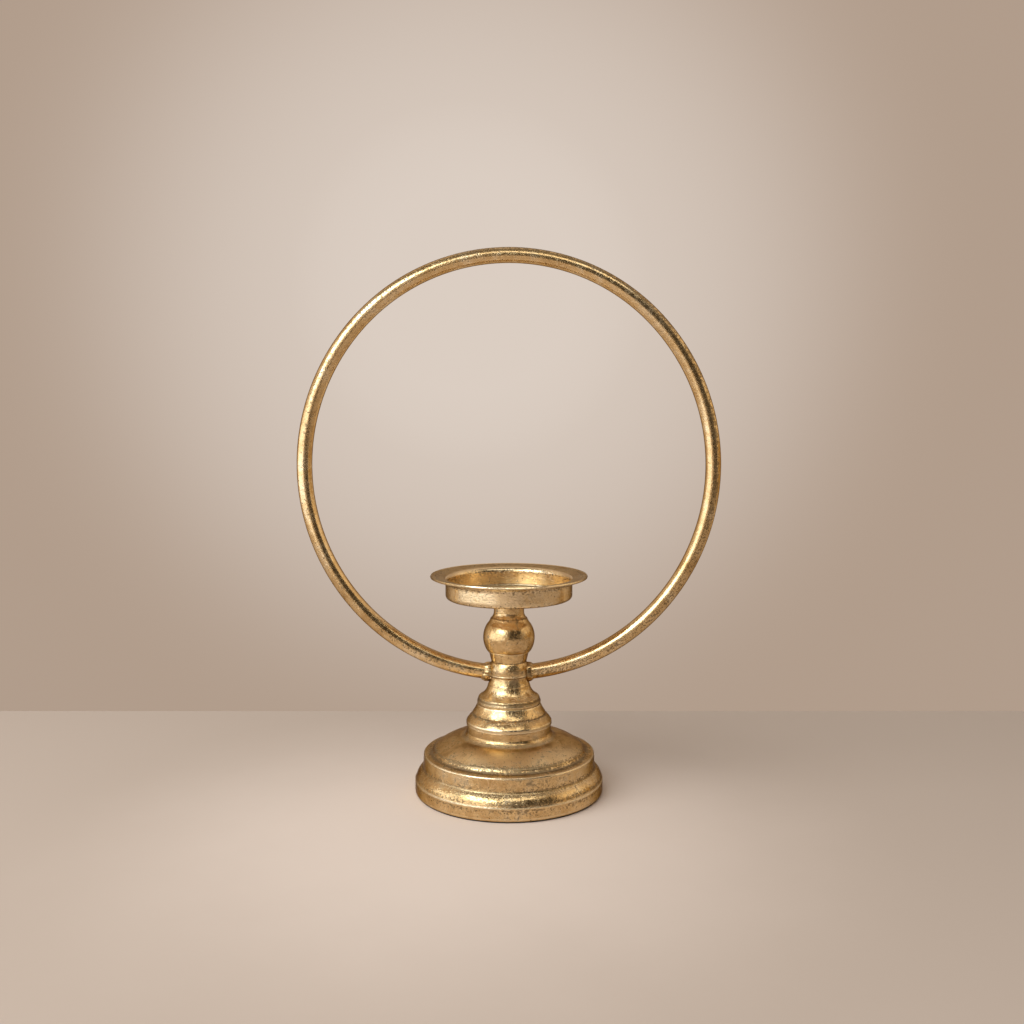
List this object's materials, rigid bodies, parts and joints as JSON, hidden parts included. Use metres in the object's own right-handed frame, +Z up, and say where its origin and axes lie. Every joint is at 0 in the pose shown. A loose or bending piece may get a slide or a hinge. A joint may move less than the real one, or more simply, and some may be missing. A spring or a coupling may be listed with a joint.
{
  "type": "candle ring",
  "caption": "Pillar candle holder on a stepped spun foot, with a tall round tube hoop welded to the stem around the candle pan.",
  "frame": {"origin": "centre of the foot on the table, underside of the felt ring", "axes": "+Z up along the stem, X across the hoop, Y along the axis of the hoop, through its opening"},
  "size_m": [0.274, 0.124, 0.3542],
  "materials": {
    "gilt": "antique gold leaf over iron, satin, rubbed brown in the grooves",
    "weld": "rough weld beads under the same gold finish",
    "steel": "zinc plated",
    "felt": "black felt"
  },
  "bodies": {
    "root": {"base_felt": "felt", "base_shell": "gilt", "lower_stem": "gilt", "ring_hub": "gilt", "ring_tube": "gilt", "ring_welds": "weld", "upper_stem": "gilt", "candle_pan": "gilt", "pan_screw": "gilt", "tie_rod": "steel", "base_washer": "steel", "spring_washer": "steel", "base_nut": "steel"}
  },
  "joints": []
}
